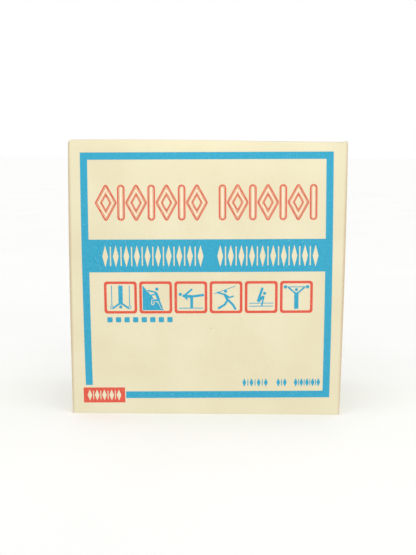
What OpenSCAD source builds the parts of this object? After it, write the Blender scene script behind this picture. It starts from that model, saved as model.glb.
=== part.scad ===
// Retail carton of gymnastics chalk: a reverse-tuck paperboard carton that holds eight paper-wrapped
// blocks of pressed magnesium carbonate, two across, two deep and two high.
// Millimetres. +Z is up, the printed front faces -Y, and the origin is under the middle of the carton.

/* [Chalk block] */
// Width of one block
block_w = 51.5; // [48:0.5:56]
// Depth of one block, front to back
block_d = 25; // [22:0.5:30]
// Height of one block
block_h = 51.2; // [48:0.2:56]
// Eased edge of the pressed block
block_ease = 1.2; // [0.4:0.2:2]
// Thickness of the paper on the four sides of a block
wrap_t = 0.15; // [0.1:0.05:0.3]
// Thickness of the folded paper at the top and bottom of a block
fold_t = 0.3; // [0.2:0.05:0.5]

/* [Packing] */
// Gap between neighbouring wrapped blocks
block_gap = 0.3; // [0.2:0.1:0.8]
// Room between the blocks and each side wall
side_room = 1.05; // [0.9:0.05:2]
// Room between the blocks and the front and back walls, where the tuck flaps slide
tuck_room = 1.55; // [1.5:0.05:2.5]
// Room between the blocks and the dust flaps that they stand on
floor_room = 0.2; // [0.1:0.1:0.5]
// Room above the blocks, under the top dust flaps
head_room = 1.7; // [1:0.1:4]

/* [Carton] */
// Thickness of the paperboard
board = 0.5; // [0.4:0.05:0.55]
// Gap between two layers of board that lie on each other
layer_gap = 0.1; // [0.1:0.05:0.2]
// Set-back of the lid and base panels from each side of the carton
lid_inset = 0.5; // [0.3:0.1:1.5]
// Width of the glue flap inside the back right corner
glue_w = 12; // [8:1:16]
// Distance that the glue flap stops short of the top and bottom
glue_inset = 3; // [2:0.5:8]

/* [Tuck flaps] */
// Length of a tuck flap from its crease to its tip
tuck_len = 12.5; // [9:0.5:12.5]
// Gap between a tuck flap and the wall that it slides behind
tuck_gap = 0.75; // [0.7:0.05:0.8]
// Distance from a side wall to the tuck flap at its crease
tuck_side = 1.5; // [1:0.5:4]
// How much narrower each side of the flap is at its tip
tuck_taper = 2; // [1:0.5:5]
// Radius of the tip's corners
tuck_r = 6; // [3:0.5:7]
// How far the flap folds in under the fully open lid, in degrees
tuck_fold = 54; // [30:1:54]

/* [Dust flaps] */
// Length of a dust flap from its crease to its tip
dust_len = 32; // [20:1:40]
// Distance of the flap's tuck-side edge from that wall, at the crease
dust_front = 2.5; // [2.2:0.1:5]
// How fast the tuck-side edge tapers in
dust_front_slope = 0.1; // [0.05:0.05:0.2]
// Distance of the flap's hinge-side edge from that wall, at the crease
dust_rear = 1.6; // [1.5:0.1:4]
// How fast the hinge-side edge tapers in, so that it clears the lid as both rise
dust_rear_slope = 0.63; // [0.62:0.01:0.7]
// Radius of the flap's leading corner
dust_r = 5; // [2:0.5:6]

/* [Hidden] */

$fn = 48;
over = 1; // overshoot of cutting shapes
card = "#f3ead0";
card_inside = "#b9b3a6";
paper = "#f4f2ea";
chalk = "#fbfbf8";

// A wrapped block, and the block of eight
wrapped = [block_w + 2 * wrap_t, block_d + 2 * wrap_t, block_h + 2 * fold_t];
load = 2 * wrapped + [block_gap, block_gap, block_gap];

// Levels from the base up
base_layers = 2 * board + layer_gap + floor_room;
top_layers = 2 * board + layer_gap + head_room;

// The carton outside, and its half width and half depth
carton = load + [2 * (side_room + board), 2 * (tuck_room + board), base_layers + top_layers];
half_w = carton.x / 2;
half_d = carton.y / 2;

// Creases run along the middle of the board. A rounded edge on the fixed side is the hinge's knuckle,
// and the moving board begins a little clear of it.
crease_r = board / 2;
crease_start = crease_r + 0.05;
lid_crease = [half_d - crease_r, carton.z - crease_r]; // y and z, along X at the back
tuck_crease_y = -(half_d - board - tuck_gap - crease_r); // along X at the front, on the lid
dust_crease = [half_w - crease_r, carton.z - board - layer_gap - crease_r]; // x and z, along Y
tuck_bevel = (crease_r * (1 + sin(tuck_fold)) + 0.05) / cos(tuck_fold); // where its inner face starts

// Corner rounded by a true arc: the two edges leave the corner towards a and b
function unit(v) = v / norm(v);
function arc_centre(p, a, b, r) =
    let (u = unit(a - p), v = unit(b - p), half = acos(u * v) / 2) p + unit(u + v) * r / sin(half);
function arc_reach(p, a, b, r) =
    let (u = unit(a - p), v = unit(b - p), half = acos(u * v) / 2) r / tan(half);

// A convex outline whose corners are rounded where rs holds a radius above 0
module rounded_outline(points, rs) {
    n = len(points);
    polygon([for (i = [0:n - 1])
        let (p = points[i], a = points[(i + n - 1) % n], b = points[(i + 1) % n], r = rs[i])
        each (r == 0 ? [p] : [p + unit(a - p) * arc_reach(p, a, b, r), arc_centre(p, a, b, r),
                              p + unit(b - p) * arc_reach(p, a, b, r)])]);
    for (i = [0:n - 1])
        if (rs[i] > 0)
            translate(arc_centre(points[i], points[(i + n - 1) % n], points[(i + 1) % n], rs[i]))
                circle(r = rs[i]);
}

// The base closure is the top closure turned over, so its hinge is on the front panel
module turned_over() {
    translate([0, 0, carton.z]) rotate([180, 0, 0]) children();
}

// An upright wall from corner lo to corner hi
module wall(lo, hi) {
    translate(lo) cube(hi - lo);
}

// A rod of crease radius along X or along Y
module crease_x(length, y, z) {
    translate([0, y, z]) rotate([0, 90, 0]) cylinder(h = length, r = crease_r, center = true);
}
module crease_y(x, y0, y1, z) {
    translate([x, y0, z]) rotate([-90, 0, 0]) cylinder(h = y1 - y0, r = crease_r);
}

// Sleeve: four walls and the glue flap that joins the back wall to the right wall
module front_panel() color(card) union() {
    wall([-half_w, -half_d, crease_r], [half_w, board - half_d, carton.z]);
    crease_x(carton.x, crease_r - half_d, crease_r);
}

module back_panel() color(card) union() {
    wall([-half_w, half_d - board, 0], [half_w - board, half_d, lid_crease.y]);
    translate([-crease_r, 0, 0]) crease_x(carton.x - board, lid_crease.x, lid_crease.y);
}

module side_wall(y1) {
    z_low = carton.z - dust_crease.y;
    wall([half_w - board, board - half_d, z_low], [half_w, y1, dust_crease.y]);
    for (z = [z_low, dust_crease.y]) crease_y(dust_crease.x, board - half_d, y1, z);
}

module left_panel() color(card) mirror([1, 0, 0]) side_wall(half_d - board);

module right_panel() color(card) side_wall(half_d);

module glue_flap() {
    y_in = half_d - board - glue_w;
    color(card_inside)
        translate([half_w - 2 * board, 0, 0]) rotate([90, 0, 90]) linear_extrude(board)
            polygon([[half_d - board, glue_inset], [half_d - board, carton.z - glue_inset],
                     [y_in, carton.z - glue_inset - glue_w / 2], [y_in, glue_inset + glue_w / 2]]);
}

// Closure, drawn at the top of the carton
module closing_panel() {
    width = carton.x - 2 * lid_inset;
    translate([-width / 2, tuck_crease_y, carton.z - board])
        cube([width, lid_crease.x - crease_start - tuck_crease_y, board]);
    crease_x(width, tuck_crease_y, lid_crease.y);
}

module tuck_flap() {
    half_root = half_w - board - tuck_side;
    half_tip = half_root - tuck_taper;
    tip_z = lid_crease.y - tuck_len;
    y_out = tuck_crease_y - crease_r;
    difference() {
        translate([0, y_out + board, 0]) rotate([90, 0, 0]) linear_extrude(board)
            rounded_outline([[-half_root, lid_crease.y - crease_start], [-half_tip, tip_z],
                             [half_tip, tip_z], [half_root, lid_crease.y - crease_start]],
                            [0, tuck_r, tuck_r, 0]);
        // The inner side is bevelled at the crease, so that the flap folds in under the lid
        rotate([90, 0, 90]) linear_extrude(carton.x, center = true)
            polygon([[y_out, lid_crease.y - crease_start], [y_out + board, lid_crease.y - tuck_bevel],
                     [y_out + board + over, lid_crease.y - tuck_bevel],
                     [y_out + board + over, carton.z], [y_out, carton.z]]);
    }
}

// The flap on the right, from its crease at +X towards the middle
module dust_flap() {
    x_root = dust_crease.x - crease_start;
    x_tip = dust_crease.x - dust_len;
    front = half_d - dust_front;
    rear = half_d - dust_rear;
    translate([0, 0, dust_crease.y - crease_r]) linear_extrude(board)
        rounded_outline([[x_root, -front + dust_front_slope * crease_start],
                         [x_root, rear - dust_rear_slope * crease_start],
                         [x_tip, rear - dust_rear_slope * dust_len],
                         [x_tip, -front + dust_front_slope * dust_len]],
                        [0, 0, dust_r, dust_r]);
}

module lid_panel() color(card) closing_panel();

module lid_tuck_flap() color(card) tuck_flap();

module top_left_dust_flap() color(card) mirror([1, 0, 0]) dust_flap();

module top_right_dust_flap() color(card) dust_flap();

module base_panel() color(card) turned_over() closing_panel();

module base_tuck_flap() color(card) turned_over() tuck_flap();

module base_left_dust_flap() color(card) turned_over() mirror([1, 0, 0]) dust_flap();

module base_right_dust_flap() color(card) turned_over() dust_flap();

// Contents: block i stands in column, row and layer 0 or 1, counted from the front lower left
function block_centre(i) =
    let (cell = [i % 2, floor(i / 2) % 2, floor(i / 4)])
    [(cell.x - 0.5) * (wrapped.x + block_gap), (cell.y - 0.5) * (wrapped.y + block_gap),
     base_layers + wrapped.z / 2 + cell.z * (wrapped.z + block_gap)];

// A box about its centre with all twelve edges eased by flats
module eased_box(size, ease) {
    module eased(a, b) {
        polygon([[-a / 2, ease - b / 2], [ease - a / 2, -b / 2], [a / 2 - ease, -b / 2],
                 [a / 2, ease - b / 2], [a / 2, b / 2 - ease], [a / 2 - ease, b / 2],
                 [ease - a / 2, b / 2], [-a / 2, b / 2 - ease]]);
    }
    intersection() {
        linear_extrude(size.z, center = true) eased(size.x, size.y);
        rotate([90, 0, 0]) linear_extrude(size.y, center = true) eased(size.x, size.z);
        rotate([90, 0, 90]) linear_extrude(size.x, center = true) eased(size.y, size.z);
    }
}

module chalk_block(i) {
    color(chalk) translate(block_centre(i)) eased_box([block_w, block_d, block_h], block_ease);
}

module paper_wrap(i) {
    color(paper) translate(block_centre(i)) difference() {
        eased_box(wrapped, block_ease);
        eased_box([block_w, block_d, block_h], block_ease);
    }
}

front_panel();
back_panel();
left_panel();
right_panel();
glue_flap();
lid_panel();
lid_tuck_flap();
top_left_dust_flap();
top_right_dust_flap();
base_panel();
base_tuck_flap();
base_left_dust_flap();
base_right_dust_flap();
for (i = [0:7]) chalk_block(i);
for (i = [0:7]) paper_wrap(i);
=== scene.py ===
import bpy
import bmesh
import math
from mathutils import Matrix, Vector, noise


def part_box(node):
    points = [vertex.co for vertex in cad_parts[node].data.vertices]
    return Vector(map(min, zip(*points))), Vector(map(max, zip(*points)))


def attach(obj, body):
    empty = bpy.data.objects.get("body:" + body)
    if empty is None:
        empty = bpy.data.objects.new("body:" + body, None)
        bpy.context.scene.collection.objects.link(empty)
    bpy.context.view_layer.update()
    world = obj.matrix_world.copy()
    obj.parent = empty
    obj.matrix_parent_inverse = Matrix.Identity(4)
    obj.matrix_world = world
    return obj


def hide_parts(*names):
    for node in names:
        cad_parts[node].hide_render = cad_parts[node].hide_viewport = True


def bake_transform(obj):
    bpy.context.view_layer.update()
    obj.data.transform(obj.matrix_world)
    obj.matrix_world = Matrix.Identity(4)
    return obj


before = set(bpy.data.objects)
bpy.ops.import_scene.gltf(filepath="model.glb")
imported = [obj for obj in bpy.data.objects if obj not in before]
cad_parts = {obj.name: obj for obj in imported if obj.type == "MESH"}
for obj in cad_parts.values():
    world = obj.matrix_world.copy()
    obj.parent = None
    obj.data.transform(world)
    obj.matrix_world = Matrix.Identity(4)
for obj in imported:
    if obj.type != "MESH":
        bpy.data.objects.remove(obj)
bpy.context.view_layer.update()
mm = 0.001
xWay, yWay, zWay = Vector((1, 0, 0)), Vector((0, 1, 0)), Vector((0, 0, 1))

# The carton's sizes, from the frame
wallLow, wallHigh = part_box("front_panel")
halfWidth, height = wallHigh.x, wallHigh.z
frontY, backY = wallLow.y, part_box("back_panel")[1].y
board = wallHigh.y - wallLow.y
lidLow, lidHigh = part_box("lid_panel")
tuckLow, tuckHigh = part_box("lid_tuck_flap")
dustLow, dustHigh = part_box("top_right_dust_flap")


# Helpers for modelling by hand
modelling = {"alongAxis": 0.98, "facing": 0.6, "hair": 1e-6, "cutterScale": 3}


def deselectAll():
    if bpy.context.object and bpy.context.object.mode != "OBJECT":
        bpy.ops.object.mode_set(mode="OBJECT")
    bpy.ops.object.select_all(action="DESELECT")


def activate(piece):
    deselectAll()
    piece.select_set(True)
    bpy.context.view_layer.objects.active = piece


def settle(piece):  # its place, turn and size go into its mesh
    activate(piece)
    bpy.ops.object.transform_apply(location=True, rotation=True, scale=True)
    return piece


def rename(piece, name):
    piece.name = name
    piece.data.name = name
    return piece


def addBox(name, low, high):
    deselectAll()
    low, high = Vector(low), Vector(high)
    bpy.ops.mesh.primitive_cube_add(size=1, location=(low + high) / 2)
    piece = rename(bpy.context.object, name)
    piece.scale = high - low
    return settle(piece)


def pick(piece, kind, test):  # opens edit mode with whatever passes the test selected
    activate(piece)
    bpy.ops.object.mode_set(mode="EDIT")
    bpy.ops.mesh.select_mode(type=kind)
    bpy.ops.mesh.select_all(action="DESELECT")
    mesh = bmesh.from_edit_mesh(piece.data)
    for item in {"FACE": mesh.faces, "EDGE": mesh.edges, "VERT": mesh.verts}[kind]:
        if test(item):
            item.select_set(True)
    mesh.select_flush_mode()
    bmesh.update_edit_mesh(piece.data)


def leave():
    bpy.ops.object.mode_set(mode="OBJECT")


def everything(item):
    return True


def bevelEdges(piece, test, width, segments, **settings):
    pick(piece, "EDGE", test)
    bpy.ops.mesh.bevel(offset=width, segments=segments, affect="EDGES", **settings)
    leave()
    return piece


def faceOutwards(piece):
    pick(piece, "FACE", everything)
    bpy.ops.mesh.normals_make_consistent(inside=False)
    leave()
    return piece


def edgeRuns(edge, axis):  # true for an edge along axis 0, 1 or 2
    way = edge.verts[1].co - edge.verts[0].co
    return abs(way[axis]) > modelling["alongAxis"] * way.length


def middle(item):
    return sum((v.co for v in item.verts), Vector()) / len(item.verts)


def sliceAcross(piece, axis, places):  # a flat cut at each place along an axis
    activate(piece)
    bpy.ops.object.mode_set(mode="EDIT")
    way = [float(i == axis) for i in range(3)]
    for place in places:
        bpy.ops.mesh.select_all(action="SELECT")
        bpy.ops.mesh.bisect(plane_co=[place * w for w in way], plane_no=way, threshold=modelling["hair"])
    leave()


def steps(low, high, most):  # even places between two ends, no further apart than most
    count = max(1, math.ceil((high - low) / most))
    return [low + (high - low) * i / count for i in range(1, count)]


def useModifier(piece, kind, **settings):
    activate(piece)
    modifier = piece.modifiers.new(kind.title(), kind)
    for key, value in settings.items():
        setattr(modifier, key, value)
    bpy.ops.object.modifier_apply(modifier=modifier.name)
    return piece


def joinAll(pieces, name):
    activate(pieces[0])
    for piece in pieces[1:]:
        piece.select_set(True)
    if len(pieces) > 1:
        bpy.ops.object.join()
    return rename(pieces[0], name)


def combine(piece, others, operation):  # one exact boolean with all the others, which it uses up
    tool = joinAll(others, "cutter")
    if operation == "DIFFERENCE":
        tool.scale.y = modelling["cutterScale"]  # a cutter stands clear of the film on both sides
        settle(tool)
    useModifier(piece, "BOOLEAN", object=tool, operation=operation, solver="EXACT", use_self=len(others) > 1)
    bpy.data.objects.remove(tool)
    return piece


def copyOf(piece, name):
    twin = piece.copy()
    twin.data = piece.data.copy()
    bpy.context.scene.collection.objects.link(twin)
    return rename(twin, name)


def reshape(piece, move):  # each corner goes where move says
    for vertex in piece.data.vertices:
        vertex.co = move(vertex.co.copy())
    piece.data.update()
    return piece


def wear(piece, depth):  # each corner sinks along its normal as deep as depth says
    sunk = iter([v.co - v.normal * depth(v.co) for v in piece.data.vertices])
    return reshape(piece, lambda co: next(sunk))


def markCorners(piece, name, worth):  # a value on each corner for its material
    marks = piece.data.attributes.new(name, "FLOAT", "POINT")
    for vertex, mark in zip(piece.data.vertices, marks.data):
        mark.value = worth(vertex.co)
    return piece


def smooth(piece, degrees=32):
    activate(piece)
    bpy.ops.object.shade_smooth_by_angle(angle=math.radians(degrees))
    return piece


def dress(piece, *materials):
    piece.data.materials.clear()
    for material in materials:
        piece.data.materials.append(material)
    return piece


def clamp(value, low=0.0, high=1.0):
    return max(low, min(high, value))


# Materials

def toLinear(hexText):
    channels = [int(hexText[i:i + 2], 16) / 255 for i in (1, 3, 5)]
    return [c / 12.92 if c <= 0.04045 else ((c + 0.055) / 1.055) ** 2.4 for c in channels] + [1.0]


def perMm(size):  # the scale that repeats a pattern every so many millimetres
    return 1 / (size * mm)


def addNode(tree, kind, inputs, output=0, stops=(), **settings):  # gives one output of a new node
    node = tree.nodes.new("ShaderNode" + kind)
    for key, value in settings.items():
        setattr(node, key, value)
    for key, value in inputs.items():
        if isinstance(value, bpy.types.NodeSocket):
            tree.links.new(value, node.inputs[key])
        else:
            node.inputs[key].default_value = value
    for i, (position, shade) in enumerate(stops):
        element = node.color_ramp.elements[i] if i < 2 else node.color_ramp.elements.new(position)
        element.position = position
        element.color = toLinear(shade)
    return node.outputs[output]


def startMaterial(name, look):  # each noise of a look has its size in mm, its detail and its roughness
    material = bpy.data.materials.new(name)
    material.use_nodes = True
    tree = material.node_tree
    shader = tree.nodes["Principled BSDF"]
    shader.inputs["Roughness"].default_value = look["rough"]
    shader.inputs["IOR"].default_value = look.get("ior", 1.5)
    made = []
    for size, detail, roughness in look.get("noises", ()):
        place = addNode(tree, "TexCoord", {}, "Object")
        made.append(addNode(tree, "TexNoise", {"Vector": place, "Scale": perMm(size), "Detail": detail,
                                               "Roughness": roughness}))
    return material, tree, shader, *made


amount, lower, upper, mixed = 0, 6, 7, 2  # sockets of a colour mix


def finishMaterial(material, shader, colour, relief, depthMm, strength=1.0):
    tree = material.node_tree
    tree.links.new(colour, shader.inputs["Base Color"])
    bump = addNode(tree, "Bump", {"Height": relief, "Distance": depthMm * mm, "Strength": strength})
    tree.links.new(bump, shader.inputs["Normal"])
    return material


# Clay-coated folding boxboard, printed side: smooth and cream, clouded by its fibres, with a dull sheen
# the last colour is the brown of the painted shade along the upright folds
coatedLook = {"cream": "#E4DBBB", "deepCream": "#DED4B2", "fleck": "#B8A986", "foldShade": "#B4936E",
              "noises": [(26, 3, 0.5), (0.6, 5, 0.65), (3.4, 3, 0.5)], "fibreShow": 0.22, "rough": 0.45}


def coatedBoard():
    look = coatedLook
    material, tree, shader, cloud, fibre, fleck = startMaterial("coated_boxboard_cream", look)
    base = addNode(tree, "ValToRGB", {"Fac": cloud}, stops=[(0.35, look["cream"]), (0.65, look["deepCream"])])
    grain = addNode(tree, "ValToRGB", {"Fac": fibre}, stops=[(0.3, "#C9B98C"), (0.7, "#FFFDF2")])
    fibred = addNode(tree, "Mix", {amount: look["fibreShow"], lower: base, upper: grain}, mixed,
                     data_type="RGBA",
                     blend_type="SOFT_LIGHT")
    spots = addNode(tree, "ValToRGB", {"Fac": fleck}, stops=[(0.765, "#000000"), (0.8, "#FFFFFF")])
    flecked = addNode(tree, "Mix", {amount: spots, lower: fibred, upper: toLinear(look["fleck"])}, mixed,
                      data_type="RGBA")
    # painted shade along the upright folds, made patchy by the fibre noise
    foldShade = addNode(tree, "Attribute", {}, "Fac", attribute_name="foldShade")
    patchy = addNode(tree, "Math", {0: foldShade, 1: fibre}, operation="MULTIPLY")
    colour = addNode(tree, "Mix", {amount: patchy, lower: flecked, upper: toLinear(look["foldShade"])}, mixed,
                     data_type="RGBA")
    return finishMaterial(material, shader, colour, fibre, depthMm=0.008)


# Uncoated grey back of the same board: recycled fibre, rough and dull
greyLook = {"grey": "#B4AC9D", "pale": "#C9C2B4", "dark": "#857C70", "noises": [(8, 3, 0.5), (0.5, 6, 0.7)],
            "fibreShow": 0.35, "rough": 0.85}


def greyBack():
    look = greyLook
    material, tree, shader, cloud, fibre = startMaterial("uncoated_grey_board", look)
    base = addNode(tree, "ValToRGB", {"Fac": cloud}, stops=[(0.3, look["grey"]), (0.7, look["pale"])])
    strands = addNode(tree, "ValToRGB", {"Fac": fibre}, stops=[(0.35, look["dark"]), (0.62, look["pale"])])
    colour = addNode(tree, "Mix", {amount: look["fibreShow"], lower: base, upper: strands}, mixed,
                     data_type="RGBA")
    return finishMaterial(material, shader, colour, fibre, depthMm=0.02, strength=0.6)


# Die-cut edge of the board: crushed plies of grey-pink pulp between the pale coatings
edgeLook = {"pulp": "#BFA892", "pale": "#DACBB2", "noises": [(0.16, 4, 0.6)], "rough": 0.9}


def cutEdge():
    look = edgeLook
    material, tree, shader, plies = startMaterial("die_cut_board_edge", look)
    colour = addNode(tree, "ValToRGB", {"Fac": plies}, stops=[(0.35, look["pulp"]), (0.65, look["pale"])])
    return finishMaterial(material, shader, colour, plies, depthMm=0.03, strength=0.8)


# Offset ink on the coating: a thin even film, a little mottled, with pale pinpricks where it missed
inkLooks = {"blue": {"deep": "#1096B7", "light": "#2AAACB", "missed": "#8CC9D2", "mottleMm": 0.55},
            "red": {"deep": "#D6442B", "light": "#E3583F", "missed": "#EFA98A", "mottleMm": 0.6},
            "cream": {"deep": "#F0DABB", "light": "#F8E6CA", "missed": "#FAEFDC", "mottleMm": 1.0}}
inkMissMm, inkRough = 0.5, 0.42


def offsetInk(shade):
    look = inkLooks[shade]
    surface = {"rough": inkRough, "noises": [(look["mottleMm"], 3, 0.6), (inkMissMm, 2, 0.5)]}
    material, tree, shader, mottle, missing = startMaterial("offset_ink_" + shade, surface)
    film = addNode(tree, "ValToRGB", {"Fac": mottle}, stops=[(0.3, look["deep"]), (0.7, look["light"])])
    gaps = addNode(tree, "ValToRGB", {"Fac": missing}, stops=[(0.64, "#000000"), (0.8, "#FFFFFF")])
    colour = addNode(tree, "Mix", {amount: gaps, lower: film, upper: toLinear(look["missed"])}, mixed,
                     data_type="RGBA")
    return finishMaterial(material, shader, colour, mottle, depthMm=0.003, strength=0.5)


# Red ink laid in fine slanting hatches over the cream, which shades the ornaments like rolled tubes
hatchLook = {"stroke": "#B5623C", "ground": "#EFCFA6", "pitchMm": 0.55, "slant": 38, "rough": 0.45}


def hatchedInk():
    look = hatchLook
    material, tree, shader = startMaterial("offset_ink_red_hatched", look)
    place = addNode(tree, "TexCoord", {}, "Object")
    turned = addNode(tree, "Mapping", {"Vector": place, "Rotation": (0, math.radians(look["slant"]), 0)})
    strokes = addNode(tree, "TexWave", {"Vector": turned, "Scale": perMm(look["pitchMm"]) * math.pi / 10,
                                        "Distortion": 2.5, "Detail": 3, "Detail Scale": 1.5}, "Fac",
                      bands_direction="X")
    colour = addNode(tree, "ValToRGB", {"Fac": strokes}, stops=[(0.3, look["stroke"]), (0.7, look["ground"])])
    return finishMaterial(material, shader, colour, strokes, depthMm=0.003, strength=0.5)


# Pressed magnesium carbonate: dead white, matt and powdery, with open pores
chalkLook = {"white": "#F5F5F2", "shade": "#E2E2DD", "noises": [(5, 4, 0.5), (0.45, 6, 0.7)], "rough": 0.95}


def pressedChalk():
    look = chalkLook
    material, tree, shader, cloud, pores = startMaterial("pressed_magnesium_carbonate", look)
    colour = addNode(tree, "ValToRGB", {"Fac": cloud}, stops=[(0.3, look["shade"]), (0.7, look["white"])])
    return finishMaterial(material, shader, colour, pores, depthMm=0.12, strength=0.7)


# Thin white wrapping tissue: soft crumples, faint fibres and the block's greyish shadow through it
# the turned colour is painted shade, laid along the edges of the folds
tissueLook = {"white": "#F1EFE8", "shade": "#E6E3DA", "turned": "#B9B4A6",
              "noises": [(6, 5, 0.6), (0.7, 4, 0.5)], "rough": 0.7, "ior": 1.45}


def wrappingTissue():
    look = tissueLook
    material, tree, shader, crumple, fibre = startMaterial("wrapping_tissue_white", look)
    # painted shade along the folds' edges, darkest right at the edge
    turned = addNode(tree, "Attribute", {}, "Fac", attribute_name="turned")
    edges = addNode(tree, "Math", {0: turned, 1: 3.0}, operation="POWER")
    sheet = addNode(tree, "ValToRGB", {"Fac": crumple}, stops=[(0.3, look["shade"]), (0.6, look["white"])])
    colour = addNode(tree, "Mix", {amount: edges, lower: sheet, upper: toLinear(look["turned"])}, mixed,
                     data_type="RGBA")
    relief = addNode(tree, "Math", {0: crumple, 1: 8.0, 2: fibre}, operation="MULTIPLY_ADD")
    return finishMaterial(material, shader, colour, relief, depthMm=0.06, strength=0.7)


# Plain pale studio floor, matt so that it takes only a soft shadow, and clear from below to show the base
floorLook = {"shade": "#FBFBFA", "pale": "#FEFEFD", "noises": [(120, 3, 0.5)], "rough": 0.9, "ior": 1.3}


def paleFloor():
    look = floorLook
    material, tree, shader, cloud = startMaterial("matt_white_studio_floor", look)
    colour = addNode(tree, "ValToRGB", {"Fac": cloud}, stops=[(0.3, look["shade"]), (0.7, look["pale"])])
    tree.links.new(colour, shader.inputs["Base Color"])
    below = addNode(tree, "NewGeometry", {}, "Backfacing")
    clear = addNode(tree, "BsdfTransparent", {})
    surface = addNode(tree, "MixShader", {0: below, 1: shader.outputs[0], 2: clear})
    tree.links.new(surface, tree.nodes["Material Output"].inputs["Surface"])
    return material


outside, inside, edge = coatedBoard(), greyBack(), cutEdge()
blueInk, redInk, creamInk, redHatch = offsetInk("blue"), offsetInk("red"), offsetInk("cream"), hatchedInk()
chalkWhite, tissue, floorPaint = pressedChalk(), wrappingTissue(), paleFloor()
print("materials made")


# Camera, light and floor
viewing = {"distanceMm": 322, "pitch": 8.9, "roll": 0.4, "lens": 53.45, "sensor": 36,
           "shift": (0.0018, 0.0063)}
studio = {"world": 1.0, "keyPlace": (0.0, -0.075, 0.175), "keySize": 0.08, "keyPower": 0.024,
          "fillPlace": (0.45, -0.5, 0.03), "fillSize": 0.3, "fillPower": 0.36, "floorSize": 30}


def addCamera():
    pitch, roll = math.radians(viewing["pitch"]), math.radians(viewing["roll"])
    away = Vector((0, -math.cos(pitch), math.sin(pitch))) * viewing["distanceMm"] * mm
    data = bpy.data.cameras.new("camera")
    data.lens = viewing["lens"]
    data.sensor_width = viewing["sensor"]
    data.shift_x, data.shift_y = viewing["shift"]
    camera = bpy.data.objects.new("camera", data)
    bpy.context.scene.collection.objects.link(camera)
    turn = Matrix.Rotation(math.pi / 2 - pitch, 4, "X") @ Matrix.Rotation(roll, 4, "Z")
    camera.matrix_world = Matrix.Translation(Vector((0, frontY, height / 2)) + away) @ turn
    bpy.context.scene.camera = camera


def addSoftbox(name):
    bpy.ops.object.light_add(type="AREA", location=studio[name + "Place"])
    lamp = bpy.context.object
    lamp.name = name + "_softbox"
    lamp.visible_camera = False
    lamp.data.size = studio[name + "Size"]
    lamp.data.energy = studio[name + "Power"]
    lamp.rotation_euler = (Vector((0, 0, height / 2)) - lamp.location).to_track_quat("-Z", "Y").to_euler()


def addStudio():
    world = bpy.data.worlds.new("white_room")
    bpy.context.scene.world = world
    world.use_nodes = True
    glow = world.node_tree.nodes["Background"].inputs
    glow["Color"].default_value = (1, 1, 1, 1)
    glow["Strength"].default_value = studio["world"]
    bpy.context.scene.view_settings.view_transform = "Standard"
    addSoftbox("key")
    addSoftbox("fill")
    deselectAll()
    bpy.ops.mesh.primitive_plane_add(size=studio["floorSize"])
    floor = dress(settle(rename(bpy.context.object, "floor")), floorPaint)
    floor.visible_diffuse = floor.visible_glossy = False  # the white room lights the base too
    floor.visible_shadow = False


addCamera()
addStudio()
print("camera, light and floor placed")


# The board: each wall stands out a little at its middle, as a packed carton's do
boardLook = {"cell": 4.0, "cornerRadius": 0.9, "wave": 0.2, "waveMm": 31, "frontBow": 0.45, "backBow": 0.4,
             "leftBow": 0.35, "rightBow": 0.35, "lidBow": 0.25, "swell": 0.4, "rimBevel": 0.09, "rimSteps": 2}
printedSide, greySide, cutSide = 0, 1, 2  # the three materials of every piece of board
creaseReach = 1.0 * mm  # how far a crease's bent strip runs from its corner
lidBoardLow, lidBoardHigh = tuckLow.y + creaseReach, backY - creaseReach
cornerRadius = boardLook["cornerRadius"] * mm
flatWidth, flatDepth = halfWidth - cornerRadius, backY - cornerRadius
walls = {  # half of each wall's flat width and height
    "front": (flatWidth, height / 2), "back": (flatWidth, height / 2), "left": (flatDepth, height / 2),
    "right": (flatDepth, height / 2), "lid": (lidHigh.x, (lidBoardHigh - lidBoardLow) / 2)}


def bulge(wall, across, up):  # how far a wall stands out at a place measured from its middle
    halfAcross, halfUp = walls[wall]
    fade = clamp(1 - (across / halfAcross) ** 2) * clamp(1 - (up / halfUp) ** 2)
    seed = 10.0 * list(walls).index(wall)
    wave = noise.noise(Vector((across, up, 0)) * perMm(boardLook["waveMm"]) + Vector((0, 0, seed)))
    return (boardLook[wall + "Bow"] + boardLook["wave"] * wave) * fade * mm


def swollen(point):  # the whole sleeve is a little wider at half its height
    up = (point.z - height / 2) / (height / 2)
    point.x *= 1 + boardLook["swell"] * mm / halfWidth * clamp(1 - up * up)
    return point


def layOn(wall, flat):  # a point drawn flat, facing -Y about the wall's middle, laid on that wall
    out = bulge(wall, flat.x, flat.z) - flat.y
    if wall == "lid":
        return Vector((flat.x, (lidBoardLow + lidBoardHigh) / 2 + flat.z, height + out))
    up = height / 2 + flat.z
    laid = {"front": (flat.x, frontY - out, up), "back": (-flat.x, backY + out, up),
            "right": (halfWidth + out, flat.x, up), "left": (-halfWidth - out, -flat.x, up)}
    return swollen(Vector(laid[wall]))


def paintBoard(piece, outward):  # printed side, grey back and cut edge, by where each face looks
    dress(piece, outside, inside, edge)
    least = modelling["facing"]
    for face in piece.data.polygons:
        facing = face.normal.dot(outward)
        face.material_index = printedSide if facing > least else greySide if facing < -least else cutSide
    return piece


def softenRim(piece, outward):  # the die-cut edges lose their sharpness
    def isRim(e):
        facing = [abs(f.normal.dot(outward)) > modelling["facing"] for f in e.link_faces]
        return len(facing) == 2 and sum(facing) == 1
    return bevelEdges(piece, isRim, boardLook["rimBevel"] * mm, boardLook["rimSteps"])


def thicken(piece):  # gives a bent sheet its board, with the printed side outwards
    dress(piece, outside, inside, edge)
    return useModifier(piece, "SOLIDIFY", thickness=board, offset=-1, use_even_offset=True,
                       material_offset=greySide, material_offset_rim=cutSide)


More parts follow.
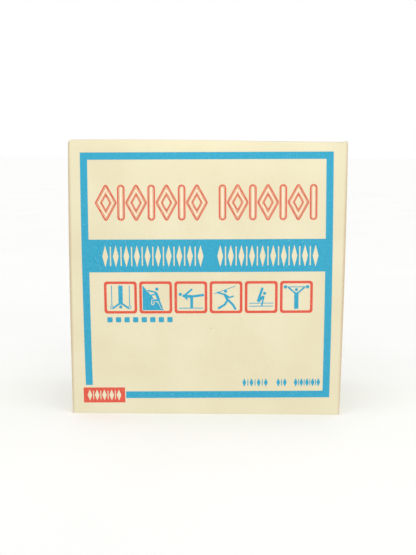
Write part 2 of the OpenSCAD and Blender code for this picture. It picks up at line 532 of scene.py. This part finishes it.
# Sleeve: four walls folded from one sheet, its front edge cut and its other edges running into creases
sleeveLook = {"cornerSteps": 6, "sideDrop": 1.6, "creaseDrop": 1.0, "postDrop": 0.2, "blendDepth": 10,
              "leftRounding": 1.7, "arch": 0.35, "archAt": -18, "archHalf": 42,
              "ear": 0.45, "earAt": 52.7, "earWidth": 0.55, "dip": 0.3, "dipAt": 50.6, "dipWidth": 1.3,
              "nearCorner": (0.5, 1.1, 1.8, 2.8), "foldShadeStart": 0.3, "foldShadeFade": 0.6, "rimBevel": 0.12,
              "rimDepth": 3, "rimReach": 1.2}


def frontDrop(x):  # height lost along the front wall's cut edge, in mm
    look = sleeveLook
    lost = -look["arch"] * clamp(1 - ((x - look["archAt"]) / look["archHalf"]) ** 2)
    inFromLeft = x + halfWidth / mm
    r = look["leftRounding"]
    if inFromLeft < r:
        lost += r - math.sqrt(max(0.0, r * r - (r - inFromLeft) ** 2))
    lost -= look["ear"] * math.exp(-((x - look["earAt"]) / look["earWidth"]) ** 2)
    lost += look["dip"] * math.exp(-((x - look["dipAt"]) / look["dipWidth"]) ** 2)
    return lost


def rimDrop(x, y, upper):  # what the top of a wall loses, or its foot, where the sleeve is turned over
    look = sleeveLook
    turn = clamp((abs(x) - flatWidth) / cornerRadius)  # 0 on the front or back wall, 1 on a side wall
    isCut = (y < 0) == upper
    if isCut:
        main = frontDrop(x / mm) if upper else 0.0
    else:
        main = look["postDrop"] if turn > 0 else look["creaseDrop"]
    return (main + (look["sideDrop"] - main) * turn ** 5) * mm


def shapeSleeve(co):
    x, y, z = co
    depth = sleeveLook["blendDepth"] * mm
    nearTop, nearFoot = clamp((z - height + depth) / depth), clamp((depth - z) / depth)
    newZ = z - rimDrop(x, y, True) * nearTop + rimDrop(x, y, False) * nearFoot
    up = z - height / 2
    if abs(x) <= flatWidth + modelling["hair"]:
        y += -bulge("front", x, up) if y < 0 else bulge("back", -x, up)
    elif abs(y) <= flatDepth + modelling["hair"]:
        x += bulge("right", y, up) if x > 0 else -bulge("left", -y, up)
    return swollen(Vector((x, y, newZ)))


def foldShade(co):  # how strongly painted shade darkens the board near the upright folds
    toCorner = Vector((abs(co.x) - halfWidth, abs(co.y) - backY)).length
    return clamp(1 - (toCorner - sleeveLook["foldShadeStart"] * mm) / (sleeveLook["foldShadeFade"] * mm))


def makeSleeve():
    look = sleeveLook
    piece = addBox("sleeve", (-halfWidth, frontY, 0), (halfWidth, backY, height))
    pick(piece, "FACE", lambda f: abs(f.normal.z) > modelling["facing"])
    bpy.ops.mesh.delete(type="FACE")
    leave()
    bevelEdges(piece, lambda e: edgeRuns(e, 2), cornerRadius, look["cornerSteps"])
    cell = boardLook["cell"] * mm
    nearCorner = [flatWidth - d * mm for d in look["nearCorner"]]
    sliceAcross(piece, 0, sorted(steps(-flatWidth, flatWidth, cell) + nearCorner + [-x for x in nearCorner]))
    sliceAcross(piece, 1, steps(-flatDepth, flatDepth, cell))
    sliceAcross(piece, 2, steps(0, height, cell))
    thicken(reshape(piece, shapeSleeve))

    def isCutRim(e):
        mid = middle(e)
        atTop = mid.z > height - look["rimDepth"] * mm and mid.y < frontY + look["rimReach"] * mm
        atFoot = mid.z < look["rimDepth"] * mm and mid.y > backY - look["rimReach"] * mm
        sides = sorted(f.material_index for f in e.link_faces)
        return (atTop or atFoot) and sides in ([printedSide, cutSide], [greySide, cutSide])
    bevelEdges(piece, isCutRim, look["rimBevel"] * mm, boardLook["rimSteps"], material=cutSide)
    # the upright folds are marked where painted shade darkens them
    markCorners(smooth(piece), "foldShade", foldShade)
    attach(piece, "carton")
    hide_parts("front_panel", "back_panel", "left_panel", "right_panel")


makeSleeve()
print("sleeve folded")


# Creases: a bent strip of board across each hinge
creaseLook = {"radius": 0.65, "rows": 16, "lengths": 20, "lidGap": 0.2, "dustGap": 0.3, "smoothDegrees": 50}


def creaseAt(part, legA, legB):  # on the strip's outer face, from 0 on the fixed board to 1 on the moving one
    r = creaseLook["radius"] * mm
    arc = r * math.pi / 2
    run = part * (2 * (creaseReach - r) + arc)
    if run < creaseReach - r:
        return legA * (creaseReach - run)
    run -= creaseReach - r
    if run < arc:
        return (legA + legB) * r - legB * r * math.cos(run / r) - legA * r * math.sin(run / r)
    return legB * (r + run - arc)


def makeCrease(name, corner, legA, legB, along, halfLength):
    deselectAll()
    look = creaseLook
    bpy.ops.mesh.primitive_grid_add(x_subdivisions=look["lengths"], y_subdivisions=look["rows"], size=2)
    piece = rename(bpy.context.object, name)
    reshape(piece, lambda co: corner + along * co.x * halfLength + creaseAt((co.y + 1) / 2, legA, legB))
    if piece.data.polygons[0].normal.dot(legA + legB) > 0:
        pick(piece, "FACE", everything)
        bpy.ops.mesh.flip_normals()
        leave()
    smooth(thicken(piece), look["smoothDegrees"])
    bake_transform(piece)


def turnedOver(point):  # the base closure is the lid's, turned over about the carton's middle
    return Vector((point.x, -point.y, height - point.z))


def turnedWay(way):
    return Vector((way.x, -way.y, -way.z))


def makeCreases():
    lidHalf = lidHigh.x - creaseLook["lidGap"] * mm
    dustHalf = backY - board - creaseLook["dustGap"] * mm
    closure = [  # name, corner, the two ways that the strip runs, the way along it, half its length, bodies
        ("{}_hinge_crease", (0, backY, height), -zWay, -yWay, xWay, lidHalf, ("carton", "{}")),
        ("{}_tuck_crease", (0, tuckLow.y, height), yWay, -zWay, xWay, tuckHigh.x, ("{}", "{}_tuck"))]
    for side, inwards in (("left", xWay), ("right", -xWay)):
        name, corner = "{}_" + side + "_dust", (-halfWidth * inwards.x, 0, dustHigh.z)
        closure.append((name + "_crease", corner, -zWay, inwards, yWay, dustHalf, ("carton", name)))
    for over in (False, True):
        point, way = (turnedOver, turnedWay) if over else (Vector, Vector)
        for label, corner, legA, legB, along, half, bodies in closure:
            end = "base" if over else "top" if "dust" in label else "lid"
            makeCrease(label.format(end), point(Vector(corner)), way(legA), way(legB), along, half)


makeCreases()
print("creases bent")


# Lid, base and their flaps
def finishFlap(piece, name, over, outward, body, node):
    if over:
        piece.rotation_euler.x = math.pi
        piece.location.z = height
        settle(piece)
        outward = turnedWay(outward)
    paintBoard(softenRim(smooth(piece), outward), outward)
    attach(rename(piece, name), body)
    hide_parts(node)


def makeClosingPanel(over):
    cell = boardLook["cell"] * mm
    piece = addBox("panel", (lidLow.x, lidBoardLow, height - board), (lidHigh.x, lidBoardHigh, height))
    sliceAcross(piece, 0, steps(lidLow.x, lidHigh.x, cell))
    sliceAcross(piece, 1, steps(lidBoardLow, lidBoardHigh, cell))
    reshape(piece, lambda co: co + zWay * bulge("lid", co.x, co.y - (lidBoardLow + lidBoardHigh) / 2))
    end = "base" if over else "lid"
    finishFlap(piece, end + "_panel_board", over, zWay, end, end + "_panel")


tuckLook = {"taper": 2.0, "cornerRadius": 6.0, "cornerSteps": 10, "cellAcross": 6, "cellDown": 3,
            "curl": 0.12, "curlFade": 1.4}


def makeTuckFlap(over):
    look = tuckLook
    rootHalf, topZ = tuckHigh.x, height - creaseReach
    piece = addBox("tuck_flap", (-rootHalf, tuckLow.y, tuckLow.z), (rootHalf, tuckHigh.y, topZ))
    narrower = (rootHalf - look["taper"] * mm) / rootHalf
    reshape(piece, lambda co: Vector((co.x * (narrower if co.z < topZ - mm else 1), co.y, co.z)))
    bevelEdges(piece, lambda e: edgeRuns(e, 1) and middle(e).z < topZ - mm, look["cornerRadius"] * mm,
               look["cornerSteps"])
    sliceAcross(piece, 0, steps(-rootHalf, rootHalf, look["cellAcross"] * mm))
    sliceAcross(piece, 2, steps(tuckLow.z, topZ, look["cellDown"] * mm))

    def curl(co):
        down = (topZ - co.z) / (topZ - tuckLow.z)
        return co + yWay * look["curl"] * mm * down * down * math.cos(co.x / rootHalf * look["curlFade"])
    reshape(piece, curl)
    end = "base" if over else "lid"
    finishFlap(piece, end + "_tuck_board", over, -yWay, end + "_tuck", end + "_tuck_flap")


dustLook = {"frontGap": 2.5, "frontSlope": 0.1, "rearGap": 1.6, "rearSlope": 0.63, "cornerRadius": 5.0,
            "cornerSteps": 8, "cellAcross": 4, "cellAlong": 5}


def makeDustFlap(over, side):
    look = dustLook
    rootX, tipX = halfWidth - creaseReach, dustLow.x

    def edgeY(x, front):
        out = halfWidth - board / 2 - x
        if front:
            return -(backY - look["frontGap"] * mm) + look["frontSlope"] * out
        return backY - look["rearGap"] * mm - look["rearSlope"] * out
    piece = addBox("dust_flap", (tipX, -mm, dustLow.z), (rootX, mm, dustHigh.z))
    reshape(piece, lambda co: Vector((co.x, edgeY(co.x, co.y < 0), co.z)))
    bevelEdges(piece, lambda e: edgeRuns(e, 2) and middle(e).x < tipX + mm, look["cornerRadius"] * mm,
               look["cornerSteps"])
    sliceAcross(piece, 0, steps(tipX, rootX, look["cellAcross"] * mm))
    sliceAcross(piece, 1, steps(-backY, backY, look["cellAlong"] * mm))
    if side == "left":
        piece.scale.x = -1
        faceOutwards(settle(piece))
    end = "base" if over else "top"
    finishFlap(piece, f"{end}_{side}_dust_board", over, zWay, f"{end}_{side}_dust", f"{end}_{side}_dust_flap")


def makeGlueFlap():
    low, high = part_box("glue_flap")
    piece = addBox("glue_flap_board", low, high)
    width = high.y - low.y
    reshape(piece, lambda co: co + zWay * math.copysign(width / 2, height / 2 - co.z) * (co.y < low.y + mm))
    dress(softenRim(piece, xWay), inside)
    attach(piece, "carton")
    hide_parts("glue_flap")


for isBase in (False, True):
    makeClosingPanel(isBase)
    makeTuckFlap(isBase)
    for hand in ("left", "right"):
        makeDustFlap(isBase, hand)
makeGlueFlap()
print("lid, base and flaps cut")


# Printing: thin films of ink drawn flat, facing -Y about a wall's middle, in mm, then laid on the wall
inkLook = {"film": 0.03, "bite": 0.01, "softness": 0.08, "cell": 4.0, "weld": 0.003,
           "fewSides": 16, "manySides": 48, "smallRadius": 0.2}


def inkShape(corners, radius, vertices=24):  # its outline runs round its corners at a radius
    deselectAll()
    bpy.ops.mesh.primitive_circle_add(vertices=vertices, radius=radius * mm, fill_type="NGON",
                                      location=(0, -inkLook["film"] * mm, 0), rotation=(math.pi / 2, 0, 0))
    piece = settle(bpy.context.object)

    def spread(co):
        furthest = max(corners, key=lambda c: c[0] * co.x + c[1] * co.z)
        return Vector((co.x + furthest[0] * mm, -inkLook["film"] * mm, co.z + furthest[1] * mm))
    reshape(piece, spread)
    pick(piece, "FACE", everything)
    depth = (inkLook["film"] + inkLook["bite"]) * mm
    bpy.ops.mesh.extrude_region_move(TRANSFORM_OT_translate={"value": (0, depth, 0)})
    leave()
    return faceOutwards(piece)


def inkPlate(left, low, right, high, radius=inkLook["softness"]):
    xs, zs = (left + radius, right - radius), (low + radius, high - radius)
    sides = inkLook["fewSides"] if radius < inkLook["smallRadius"] else inkLook["manySides"]
    return inkShape([(x, z) for x in xs for z in zs], radius, sides)


def inkLine(width, *points):  # a stroke of one width through its points
    return [inkShape(points[i:i + 2], width / 2) for i in range(max(1, len(points) - 1))]


def inkLines(lines):
    return [shape for line in lines for shape in inkLine(*line)]


def unite(pieces):
    return combine(pieces[0], pieces[1:], "UNION") if len(pieces) > 1 else pieces[0]


def moved(piece, x, z):
    piece.location = (x * mm, 0, z * mm)
    return settle(piece)


# Frame and band: on the front, the frame's left bar and foot bar stop short of the red label
frameLook = {"halfX": 48.4, "halfZ": 48.5, "middleX": 0.11, "middleZ": 1.3, "bar": 2.75, "bandLow": 3.6,
             "bandHigh": 16.4, "bandInset": 0.5, "sideHalfX": 22.4, "lidHalfZ": 22.0}
labelLook = {"left": -49.3, "low": -49.0, "right": -32.8, "high": -42.8, "gapAcross": 0.4, "gapUp": 1.04,
             "insetAcross": 1.0, "insetUp": 0.9, "count": 5, "shape": (0.95, 0.4)}
spindleLook = {"low": 5.7, "high": 14.0, "shape": (1.12, 0.5), "barInset": 0.4,
               "frontRows": [(-41.3, -0.4, 10), (3.1, 44.0, 10)], "sideRows": [(-16.2, 16.2, 8)],
               "lidRow": (-20.3, 20.3, -4.1, 4.1, 10)}  # a shape is half a spindle's width and a bar's width


def spindleRow(left, right, low, high, count, halfSpindle, bar):  # a thin bar between each two spindles
    shapes = []
    pitch = (right - left) / count
    centre, half = (low + high) / 2, (high - low) / 2
    soft, inset = inkLook["softness"], spindleLook["barInset"]
    spindle = [(halfSpindle - soft, 0), (0, half - soft), (soft - halfSpindle, 0), (0, soft - half)]
    for i in range(count):
        x = left + pitch * (i + 0.5)
        shapes.append(moved(inkShape(spindle, soft, inkLook["fewSides"]), x, centre))
        if i < count - 1:
            barX = x + pitch / 2
            shapes.append(inkPlate(barX - bar / 2, low + inset, barX + bar / 2, high - inset))
    return shapes


def drawFrame(halfX, halfZ, middleX, middleZ, withLabel=False):
    bar = frameLook["bar"]
    left, right, low, high = middleX - halfX, middleX + halfX, middleZ - halfZ, middleZ + halfZ
    leftBarLow = labelLook["high"] + labelLook["gapUp"] if withLabel else low
    footBarLeft = labelLook["right"] + labelLook["gapAcross"] if withLabel else left
    return [inkPlate(left, high - bar, right, high), inkPlate(right - bar, low, right, high),
            inkPlate(left, leftBarLow, left + bar, high), inkPlate(footBarLeft, low, right, low + bar)]


def drawBandedFrame(halfX, middleX, rows, withLabel=False):  # spindles stay open in the band across it
    look, spindle = frameLook, spindleLook
    bandHalf = halfX - look["bandInset"]
    band = inkPlate(-bandHalf, look["bandLow"], bandHalf, look["bandHigh"])
    holes = []
    for left, right, count in rows:
        holes += spindleRow(left, right, spindle["low"], spindle["high"], count, *spindle["shape"])
    bars = drawFrame(halfX, look["halfZ"], middleX, look["middleZ"], withLabel)
    return combine(unite(bars + [band]), holes, "DIFFERENCE")


# Headline: diamonds rolled like tubes, with a thinner pill between each two
headlineLook = {"low": 23.7, "high": 37.5, "diamond": 8.3, "pill": 2.9, "rounding": 0.8, "leastRadius": 0.05,
                "groups": [(-42.8, 0.4, "dpdpdpd"), (4.6, 42.4, "pdpdpdp")],
                "diamondRings": [("red", 0.0, 0.45), ("hatch", 0.45, 1.05), ("cream", 1.05, 1.6),
                                 ("hatch", 1.6, 2.1), ("red", 2.1, 2.5)],
                "pillRings": [("red", 0.0, 0.45), ("hatch", 0.45, 0.95), ("cream", 0.95, None)]}


def insetShape(corners, rounding, inset):  # the same outline brought in by an inset
    least, sides = headlineLook["leastRadius"], inkLook["manySides"]
    if inset <= rounding - least:
        return inkShape(corners, rounding - inset, sides)
    x, z = max(c[0] for c in corners), max(c[1] for c in corners)
    shrink = 1 - (inset - rounding + least) / (x * z / math.hypot(x, z))
    return inkShape([(a * shrink, b * shrink) for a, b in corners], least, sides)


def drawRings(corners, rounding, rings):  # the shade and shape of each ring, from the outside inwards
    drawn = []
    for shade, start, end in rings:
        ring = insetShape(corners, rounding, start)
        if end is not None:
            combine(ring, [insetShape(corners, rounding, end)], "DIFFERENCE")
        drawn.append((shade, ring))
    return drawn


def drawHeadline(inks):
    look = headlineLook
    half, middleUp = (look["high"] - look["low"]) / 2, (look["high"] + look["low"]) / 2
    soft, halfPill = look["rounding"], look["pill"] / 2
    x, z = look["diamond"] / 2 - soft, half - soft
    patterns = {"d": drawRings([(x, 0), (0, z), (-x, 0), (0, -z)], soft, look["diamondRings"]),
                "p": drawRings([(0, half - halfPill), (0, halfPill - half)], halfPill, look["pillRings"])}
    widths = {"d": look["diamond"], "p": look["pill"]}
    for left, right, order in look["groups"]:
        gap = (right - left - sum(widths[kind] for kind in order)) / (len(order) - 1)
        for kind in order:
            for shade, pattern in patterns[kind]:
                inks[shade].append(moved(copyOf(pattern, "ornament"), left + widths[kind] / 2, middleUp))
            left += widths[kind] + gap
    for shade, pattern in patterns["d"] + patterns["p"]:
        bpy.data.objects.remove(pattern)


# Six small sport figures, each in a red box: a line is its width and its points, in mm from the box's middle
pictogramLook = {"half": 6.375, "stroke": 1.0, "corner": 1.2, "innerCorner": 0.7, "firstX": -33.64,
                 "pitch": 13.67, "up": -6.4}


def twice(width, *points):  # a line and its mirror image
    return (width, *points), (width, *[(-x, z) for x, z in points])


figures = {
    "rings": {"ground": twice(1.35, (-3.45, -3.9)), "gaps": twice(0.8, (-3.45, -3.9)),
              "lines": [*twice(0.3, (-3.45, 4.7), (-3.45, -3.3)), (1.25, (0, -3.75)),
                        *twice(0.85, (-0.42, 4.4), (-0.42, -2.5)),
                        *twice(0.72, (-0.75, -2.6), (-2.9, -4.2))]},
    "climbing": {"slope": [(-5.0, 4.6), (-5.0, -5.0), (3.0, -5.0)],
                 "gaps": [(1.05, (-0.1, 2.1), (-2.9, 2.7)), (1.5, (0.2, 1.6), (1.1, -0.9)),
                          (1.3, (1.0, -1.2), (-1.0, -1.1), (-1.2, -2.4)), (1.1, (1.2, -1.2), (2.3, -4.0))],
                 "lines": [(1.25, (0.5, 3.3)), (0.6, (-0.1, 2.1), (-2.9, 2.7)),
                           (1.1, (0.2, 1.6), (1.1, -0.9)), (0.8, (1.0, -1.2), (-1.0, -1.1)),
                           (0.6, (-1.0, -1.1), (-1.2, -2.4)),
                           (0.7, (1.2, -1.2), (2.3, -4.0)), (0.55, (0.3, 1.5), (-1.6, 0.9))]},
    "beam": {"lines": [(1.3, (-4.1, 1.2)), (1.15, (-2.7, 0.6), (0.2, 0.3)), (0.95, (0.2, 0.3), (4.7, 0.9)),
                       (1.1, (0.3, 0.2), (0.3, -3.9)), (0.75, (-2.4, 0.8), (0.3, 3.1)),
                       (0.6, (-2.6, 0.4), (-1.5, -0.7)), (0.32, (-4.6, -4.3), (4.6, -4.3))]},
    "javelin": {"lines": [(1.25, (-0.2, 2.4)), (1.05, (-0.4, 0.9), (0.7, -1.2)),
                          (0.65, (-0.6, 1.1), (-3.3, 1.9)), (0.6, (-0.1, 0.9), (1.3, -0.1), (2.8, 0.4)),
                          (0.85, (0.6, -1.2), (-0.6, -3.0), (-2.8, -4.3)),
                          (0.9, (1.02, -1.27), (2.6, -2.9), (3.6, -4.6)), (0.25, (-4.6, 1.4), (3.6, 4.4))]},
    "parallelBars": {"lines": [(1.2, (1.3, 1.5)), (0.95, (0.6, 0.1), (-0.9, -1.5)),
                               (0.95, (-1.2, -1.4), (0.4, 3.4)), (0.6, (1.0, 0.2), (0.7, -1.2), (0.2, -3.4)),
                               (0.3, (-4.6, -2.4), (4.6, -2.4)), (0.3, (-4.6, -3.6), (4.6, -3.6))]},
    "weights": {"lines": [(1.2, (0, 2.9)), *twice(0.85, (-0.42, 1.5), (-0.42, -4.4)),
                          *twice(0.65, (-0.5, 1.5), (-3.0, 3.7)), (0.3, (-4.4, 4.0), (4.4, 4.0)),
                          *twice(1.35, (-4.3, 4.0))]}}


def drawFigure(figure):
    ground = inkLines(figure.get("ground", []))
    if "slope" in figure:
        ground.append(inkShape(figure["slope"], inkLook["softness"]))
    if "gaps" in figure:
        ground = [combine(unite(ground), inkLines(figure["gaps"]), "DIFFERENCE")]
    return unite(ground + inkLines(figure["lines"]))


def drawPictograms(inks):
    look = pictogramLook
    half, stroke = look["half"], look["stroke"]
    for i, figure in enumerate(figures.values()):
        x = look["firstX"] + look["pitch"] * i
        box = inkPlate(-half, -half, half, half, look["corner"])
        hole = inkPlate(stroke - half, stroke - half, half - stroke, half - stroke, look["innerCorner"])
        inks["red"].append(moved(combine(box, [hole], "DIFFERENCE"), x, look["up"]))
        inks["blue"].append(moved(drawFigure(figure), x, look["up"]))


# Small rows: eight squares for the eight blocks, spindles at the lower right, and the red label's own row
rowLook = {"squares": 8, "squaresLeft": -39.0, "squaresLow": -16.3, "square": 2.05, "squarePitch": 3.35,
           "squareCorner": 0.3, "groups": [(13.2, 24.6, 4), (26.8, 32.0, 2), (33.9, 45.1, 5)],
           "groupsLow": -42.6, "groupsHigh": -39.3, "shape": (0.75, 0.35)}


def drawSmallRows(inks):
    look, label = rowLook, labelLook
    low, side = look["squaresLow"], look["square"]
    for i in range(look["squares"]):
        left = look["squaresLeft"] + look["squarePitch"] * i
        inks["blue"].append(inkPlate(left, low, left + side, low + side, look["squareCorner"]))
    for left, right, count in look["groups"]:
        inks["blue"] += spindleRow(left, right, look["groupsLow"], look["groupsHigh"], count, *look["shape"])
    left, low, right, high = (label[edge] for edge in ("left", "low", "right", "high"))
    across, up = label["insetAcross"], label["insetUp"]
    row = spindleRow(left + across, right - across, low + up, high - up, label["count"],
                     *label["shape"])
    inks["red"].append(combine(inkPlate(left, low, right, high), row, "DIFFERENCE"))


def drawMainSheet():
    bars = drawBandedFrame(frameLook["halfX"], frameLook["middleX"], spindleLook["frontRows"], True)
    inks = {"blue": [bars], "red": [], "hatch": [], "cream": []}
    drawHeadline(inks)
    drawPictograms(inks)
    drawSmallRows(inks)
    return inks


def drawSideSheet():
    return {"blue": [drawBandedFrame(frameLook["sideHalfX"], 0, spindleLook["sideRows"])]}


def drawLidSheet():
    row = spindleRow(*spindleLook["lidRow"], *spindleLook["shape"])
    return {"blue": [unite(drawFrame(frameLook["halfX"], frameLook["lidHalfZ"], 0, 0))] + row}


inkMaterials = {"blue": blueInk, "red": redInk, "hatch": redHatch, "cream": creamInk}
tilts = {"front": 0.63, "back": 0.3, "left": 0.2, "right": -0.2, "lid": 0.2}  # in degrees


def printOn(wall, sheet):  # lays a copy of each ink on a wall, a little askew as the press left it
    halfAcross, halfUp = walls[wall]
    cell, weld = inkLook["cell"] * mm, inkLook["weld"] * mm
    for shade, drawing in sheet.items():
        piece = copyOf(drawing, f"{wall}_print_{shade}")
        piece.rotation_euler.y = math.radians(-tilts[wall])
        useModifier(settle(piece), "TRIANGULATE")
        sliceAcross(piece, 0, steps(-halfAcross, halfAcross, cell))
        sliceAcross(piece, 2, steps(-halfUp, halfUp, cell))
        pick(piece, "VERT", everything)  # slivers left by the cuts are merged away
        bpy.ops.mesh.remove_doubles(threshold=weld)
        bpy.ops.mesh.dissolve_degenerate(threshold=weld)
        leave()
        dress(reshape(piece, lambda co: layOn(wall, co)), inkMaterials[shade])
        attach(piece, "lid" if wall == "lid" else "carton")


def printWalls(inks, *names):  # joins each ink's shapes into one drawing, then prints it on each wall
    sheet = {shade: joinAll(shapes, "drawing_" + shade) for shade, shapes in inks.items()}
    for wall in names:
        printOn(wall, sheet)
    for drawing in sheet.values():
        bpy.data.objects.remove(drawing)


printWalls(drawMainSheet(), "front", "back")
printWalls(drawSideSheet(), "left", "right")
printWalls(drawLidSheet(), "lid")
print("walls printed")


# Chalk blocks: pressed cakes with rounded edges, pitted faces and a few chipped corners
blockLook = {"inset": 0.1, "corner": 1.1, "cornerSteps": 3, "cell": 2.2, "pit": 0.1, "pitMm": 2.5,
             "chip": 0.8, "chipMm": 9, "chipReach": 2.2, "chipFrom": 0.3, "chipSlope": 4, "smoothDegrees": 45}
numbers = range(1, 9)


def makeBlocks():
    look = blockLook
    low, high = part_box("chalk_block_1")
    half = (high - low) / 2 - Vector((1, 1, 1)) * look["inset"] * mm
    pattern = addBox("block_pattern", -half, half)
    bevelEdges(pattern, everything, look["corner"] * mm, look["cornerSteps"])
    for axis in range(3):
        flat = half[axis] - look["corner"] * mm
        sliceAcross(pattern, axis, steps(-flat, flat, look["cell"] * mm))
    for i in numbers:
        low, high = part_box(f"chalk_block_{i}")
        seed = Vector((0, 0, 7.0 * i))

        def depth(co):
            inFromFaces = sorted(half[a] - abs(co[a]) for a in range(3))
            nearEdge = clamp(1 - inFromFaces[1] / (look["chipReach"] * mm))
            pits = abs(noise.noise(co * perMm(look["pitMm"]) + seed)) * look["pit"]
            chipped = noise.noise(co * perMm(look["chipMm"]) + seed) - look["chipFrom"]
            return (pits + clamp(chipped * look["chipSlope"]) * look["chip"] * nearEdge) * mm
        block = wear(copyOf(pattern, f"chalk_block_{i}_cake"), depth)
        block.location = (low + high) / 2
        dress(smooth(settle(block), look["smoothDegrees"]), chalkWhite)
        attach(block, "carton")
        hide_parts(f"chalk_block_{i}")
    bpy.data.objects.remove(pattern)


# Paper parcels: a sleeve of tissue round each block, its ends tucked in at the sides and folded over
parcelLook = {"sheet": 0.1, "corner": 0.6, "cornerSteps": 3, "fold": 0.3, "plate": 0.08, "cell": 2.4,
              "lap": 1.8, "tuck": 12.0, "tuckOver": 0.1, "inX": 0.5, "inY": 0.35, "lift": 0.01, "flatIn": 1.2,
              "climbReach": 3, "cutShow": 0.05, "seamLeft": -3, "seamIn": 1.2, "seamRise": 0.06,
              "loose": 0.55, "tight": 0.07, "crumpleMm": 11, "endReach": 3, "rimReach": 2.5,
              "smoothDegrees": 40}


def foldPlate(low, high, narrower, level):  # one fold of an end, which climbs over what lies below
    look = parcelLook
    cell, climb = look["cell"] * mm, level * look["sheet"] * mm
    root = max((low.y, high.y), key=abs)
    plate = addBox("fold", low, high)

    def narrow(co):
        return Vector((co.x - math.copysign(narrower, co.x) * (abs(co.y - root) > mm), co.y, co.z))
    reshape(plate, narrow)
    sliceAcross(plate, 0, steps(low.x, high.x, cell))
    sliceAcross(plate, 1, steps(low.y, high.y, cell))
    reshape(plate, lambda co: co + zWay * climb * clamp(abs(co.y - root) / (look["climbReach"] * mm)))

    def turned(co):  # 1 along a fold's edges, where the tissue gets painted shade
        part = abs(co.y - root) / (high.y - low.y)
        fromSide = high.x - narrower * part - abs(co.x)
        return float(part > 0.99 or fromSide < look["cutShow"] * mm)
    return markCorners(plate, "turned", turned)


def makeParcelPattern(half):
    look = parcelLook
    fold, lap, cell = look["fold"] * mm, look["lap"] * mm, look["cell"] * mm
    body = addBox("parcel_pattern", (-half.x, -half.y, fold - half.z), (half.x, half.y, half.z - fold))
    bevelEdges(body, everything, look["corner"] * mm, look["cornerSteps"])
    for axis in range(3):
        flat = half[axis] - look["flatIn"] * mm
        sliceAcross(body, axis, steps(-flat, flat, cell * (2 if axis == 2 else 1)))
    useModifier(body, "SOLIDIFY", thickness=look["sheet"] * mm, offset=-1, use_even_offset=True)
    z = half.z - fold + look["lift"] * mm
    topZ = z + look["plate"] * mm
    inX, inY = half.x - look["inX"] * mm, half.y - look["inY"] * mm
    folds = [foldPlate(Vector((-inX, -lap, z)), Vector((inX, inY, topZ)), inY + lap, 1),
             foldPlate(Vector((-inX, -inY, z)), Vector((inX, lap, topZ)), inY + lap, 2)]
    for side in (-1, 1):
        left, right = sorted((side * (inX + look["tuckOver"] * mm), side * (inX - look["tuck"] * mm)))
        tuck = addBox("tuck", (left, -inY, z), (right, inY, topZ))
        sliceAcross(tuck, 0, steps(left, right, cell))
        sliceAcross(tuck, 1, steps(-inY, inY, cell))
        folds.append(tuck)
    top = joinAll(folds, "folds")
    foot = copyOf(top, "foot_folds")
    foot.rotation_euler.x = math.pi
    settle(foot)
    seamIn = look["seamIn"] * mm
    seam = addBox("seam", (look["seamLeft"] * mm, half.y - look["lift"] * mm, seamIn - half.z),
                  (half.x - seamIn, half.y + look["seamRise"] * mm, half.z - seamIn))
    return joinAll([body, top, foot, seam], "parcel_pattern")


def makeParcels():
    look = parcelLook
    low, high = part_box("paper_wrap_1")
    half = (high - low) / 2
    pattern = makeParcelPattern(half)
    for i in numbers:
        low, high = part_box(f"paper_wrap_{i}")
        centre = (low + high) / 2
        seed = Vector((3.0 * i, 0, 11.0 * i))
        isUpper = centre.z > height / 2

        def crumple(co):
            atEnd = clamp((abs(co.z) - half.z + look["endReach"] * mm) / (look["endReach"] * mm))
            inFromRim = min(half.x - abs(co.x), half.y - abs(co.y))
            ridge = 0.5 - abs(noise.noise(co * perMm(look["crumpleMm"]) + seed))
            room = look["loose"] if isUpper and co.z > 0 else look["tight"]
            rise = room * ridge * atEnd * clamp(inFromRim / (look["rimReach"] * mm)) * mm
            return co + zWay * math.copysign(rise, co.z)
        parcel = reshape(copyOf(pattern, f"paper_wrap_{i}_tissue"), crumple)
        parcel.location = centre
        dress(smooth(settle(parcel), look["smoothDegrees"]), tissue)
        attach(parcel, "carton")
        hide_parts(f"paper_wrap_{i}")
    bpy.data.objects.remove(pattern)


makeBlocks()
makeParcels()
print("blocks pressed and wrapped")
